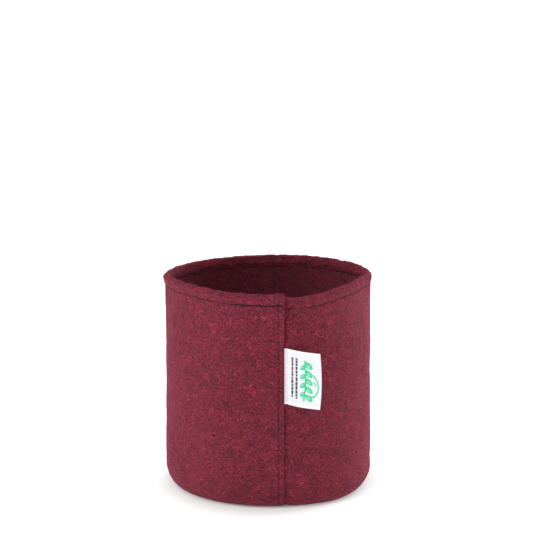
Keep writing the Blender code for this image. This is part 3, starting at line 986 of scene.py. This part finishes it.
def strands(name, places, mat, seed, thick):
    """Curled wisps standing on grids: places holds (grid, normals, rows, columns, count, length)."""
    rng = np.random.default_rng(seed)
    roots, outs, lengths = [], [], []
    for grid, normal, rows, columns, count, length in places:
        i = rng.uniform(*rows, count)
        j = rng.uniform(*columns, count)
        a = np.minimum(i.astype(int), grid.shape[0] - 2)
        b = np.minimum(j.astype(int), grid.shape[1] - 2)
        up = (grid[a + 1, b] - grid[a, b]) * (i - a)[:, None]
        along = (grid[a, b + 1] - grid[a, b]) * (j - b)[:, None]
        roots.append(grid[a, b] + up + along)
        outs.append(normal[a, b])
        lengths.append(length * rng.uniform(0.4, 1.5, count))
    root, out = np.concatenate(roots), np.concatenate(outs)
    length = np.concatenate(lengths)[:, None]
    # Where the label lies against the bag they are pressed short, so that none comes through it.
    pressed = (root[:, 1] < 0) & (root[:, 0] > HINGE.x - 0.003) & (root[:, 0] < HINGE.x + LABEL_LENGTH)
    pressed &= (root[:, 2] > FLAP_LOW.z - 0.008) & (root[:, 2] < FLAP_HIGH.z + 0.004)
    length[pressed] *= 0.3
    lean = rng.normal(size=root.shape)
    lean -= out * np.sum(lean * out, -1, keepdims=True)
    lean /= np.linalg.norm(lean, axis=-1, keepdims=True)
    curl = rng.normal(size=root.shape) * 0.35
    rise = rng.uniform(0.15, 0.85, (len(root), 1)) ** 1.5
    steps = []
    for share in (0.0, 0.35, 0.7, 1.0):
        bend = lean * (share * 0.8) + out * rise * (share - 0.35 * share**2) + curl * share**2 * 0.6
        place = root - out * ROOT_DEPTH + bend * length
        place[:, 2] = np.maximum(place[:, 2], LEAST_HEIGHT)
        steps.append(place)
    radius = thick * np.array([1.0, 0.85, 0.6, 0.25])
    points, faces, uv = tubes(np.stack(steps, 1), radius, sides=3)
    return mesh_object(name, points, faces, uv, [mat])


def make_fuzz(wall, mat):
    """Fibres that stand off the felt: a few all over, and many on the rim and the cut edges."""
    front, back = wall["front"], wall["back"]
    front_normal, back_normal = surface_normals(front), -surface_normals(back)
    rows, columns = front.shape[:2]
    fold, stitch, corner = wall["fold"], wall["stitch"], wall["corner"]
    around = (0, columns - 1)
    rim = [
        (front, front_normal, (fold - 8, fold + 5), around, 8000, 0.0028),
        (front, front_normal, (rows - 4, rows - 2), around, 900, 0.0022),
    ]
    tufts = [(front, front_normal, (fold - 4, fold + 3), around, 320, 0.0036)]
    body = [
        (front, front_normal, (corner, stitch + 8), around, 5600, 0.0026),
        (front, front_normal, (corner, fold), (columns - 3, columns - 1), 420, 0.0020),
        (back, back_normal, (corner + 14, stitch), around, 1200, 0.0025),
    ]
    return [
        strands("rim_loose_fibres", rim, mat, seed=77, thick=0.00014),
        strands("wall_loose_fibres", body, mat, seed=78, thick=0.00010),
        strands("rim_tufts", tufts, mat, seed=79, thick=0.00020),
    ]


# ------------------------
# Stage, lights and camera
# ------------------------
# The floor's own light rises over two rings round the bag: from radius, to radius, and by how much. This glow
# is painted light, and its rings paint the falloff of the bag's shadow.
FLOOR_NEAR = (0.128, 0.150, 0.27)
FLOOR_FAR = (0.158, 0.246, 0.51)
# Narrows the rings across the bag, so that the painted glow comes closer at its sides.
FLOOR_STRETCH = 1.20
FLOOR_SIZE = 40.0
FLOOR_DROP = 0.0004


def make_floor():
    """A pale floor that glows white as painted light, except under and close round the bag, where its shadow
    falls and the edge of the glow paints its falloff.
    """
    n = Nodes("floor")
    place = n.node("ShaderNodeTexCoord").outputs["Object"]
    wide = n.node("ShaderNodeVectorMath", {0: place, 1: (FLOOR_STRETCH, 1.0, 1.0)}, operation="MULTIPLY")
    away = n.node("ShaderNodeVectorMath", {0: wide.outputs[0]}, operation="LENGTH").outputs["Value"]
    near, far = (n.line(away, low, high, 0.0, light) for low, high, light in (FLOOR_NEAR, FLOOR_FAR))
    n.shade(Base_Color=(0.64, 0.64, 0.64, 1.0), Roughness=0.95, Specular_IOR_Level=0.0)
    n.shade(Emission_Color=(1.0, 1.0, 1.0, 1.0), Emission_Strength=n.math("ADD", near, far))
    corners = [(x * FLOOR_SIZE, y * FLOOR_SIZE, -FLOOR_DROP) for x, y in ((-1, -1), (1, -1), (1, 1), (-1, 1))]
    floor = mesh_object("floor", corners, [[0, 1, 2, 3]], None, [n.material])


def sun(name, azimuth_deg, elevation_deg, strength, spread_deg):
    """Distant soft light, from an azimuth measured from the front towards +X."""
    light = bpy.data.lights.new(name, "SUN")
    light.energy = strength
    light.angle = math.radians(spread_deg)
    obj = bpy.data.objects.new(name, light)
    azimuth, elevation = math.radians(azimuth_deg), math.radians(elevation_deg)
    level = math.cos(elevation)
    place = Vector((level * math.sin(azimuth), -level * math.cos(azimuth), math.sin(elevation)))
    obj.rotation_euler = (-place).to_track_quat("-Z", "Y").to_euler()
    obj.location = place * 3
    bpy.context.scene.collection.objects.link(obj)


# The world's brightness overhead, and in a band at the horizon, where it meets the floor's white. It fades
# between two heights of a direction of length 1.
SKY = 0.63
HORIZON = 1.0
FADE_FROM = 0.09
FADE_TO = 0.16


def make_lights():
    """A pale studio all round, with a broad sun from the front left and another from behind, on the right."""
    world = bpy.data.worlds.new("studio")
    world.use_nodes = True
    tree = world.node_tree
    direction = tree.nodes.new("ShaderNodeTexCoord").outputs["Generated"]
    height = tree.nodes.new("ShaderNodeSeparateXYZ")
    tree.links.new(direction, height.inputs[0])
    fade = tree.nodes.new("ShaderNodeMapRange")
    for key, value in {"From Min": FADE_FROM, "From Max": FADE_TO, "To Min": HORIZON, "To Max": SKY}.items():
        fade.inputs[key].default_value = value
    tree.links.new(height.outputs["Z"], fade.inputs["Value"])
    tree.links.new(fade.outputs[0], tree.nodes["Background"].inputs["Strength"])
    tree.nodes["Background"].inputs["Color"].default_value = (1.0, 1.0, 1.0, 1.0)
    bpy.context.scene.world = world
    sun("key", azimuth_deg=-50, elevation_deg=46, strength=1.28, spread_deg=45)
    sun("side", azimuth_deg=140, elevation_deg=24, strength=2.5, spread_deg=50)


CAMERA_X = -0.0026


def make_camera():
    """A long lens three metres in front of the bag and above it, looking down on it."""
    camera = bpy.data.cameras.new("camera")
    camera.lens = 139.2
    camera.sensor_width = 36.0
    camera.clip_end = 100.0
    obj = bpy.data.objects.new("camera", camera)
    place, aim = Vector((CAMERA_X, -3.0, 0.912)), Vector((CAMERA_X, 0.0, 0.3262))
    obj.location = place
    obj.rotation_euler = (aim - place).to_track_quat("-Z", "Y").to_euler()
    bpy.context.scene.collection.objects.link(obj)
    bpy.context.scene.camera = obj


def main():
    bpy.context.scene.view_settings.view_transform = "Standard"
    make_camera()
    make_lights()
    make_floor()
    threads = {side: thread_material(*tones) for side, tones in THREAD_TONES.items()}
    wall, wall_grid = make_wall()
    felt = felt_material("felt", wall_grid["stitch_v"])
    wall.data.materials.append(felt)
    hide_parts("wall_panel")
    base = make_base([felt])
    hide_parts("base_panel")
    made = make_stitching(wall_grid, threads)
    fuzz = make_fuzz(wall_grid, fibre_material())
    label = make_label(label_material())
    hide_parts("label_tab", "label_flap")
    leave = Vector(on_label(LABEL_LEAVE, LABEL_HEIGHT / 2))
    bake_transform(label)
    green = ink_material("green_ink", (0.030, 0.56, 0.27, 1.0), (0.16, 0.70, 0.42, 1.0))
    dark = ink_material("dark_ink", (0.030, 0.018, 0.034, 1.0), (0.16, 0.13, 0.17, 1.0))
    for name, strokes, ink in (("label_emblem", emblem(), green), ("label_small_print", small_print(), dark)):
        piece = printed(name, strokes, ink)
        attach(piece, "label")
    stands_for = {
        "hem_stitches_outside": "hem_needle_thread",
        "hem_stitches_inside": "hem_bobbin_thread",
        "side_seam_stitches_outside": "side_seam_needle_thread",
        "side_seam_stitches_inside": "side_seam_bobbin_thread",
        "base_seam_stitches_inside": "base_seam_bobbin_thread",
        "base_seam_stitches_outside": "base_seam_needle_thread",
    }
    for name, node in stands_for.items():
        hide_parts(node)
        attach(made[name], "bag")
    for piece in [wall, base] + fuzz:
        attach(piece, "bag")


main()
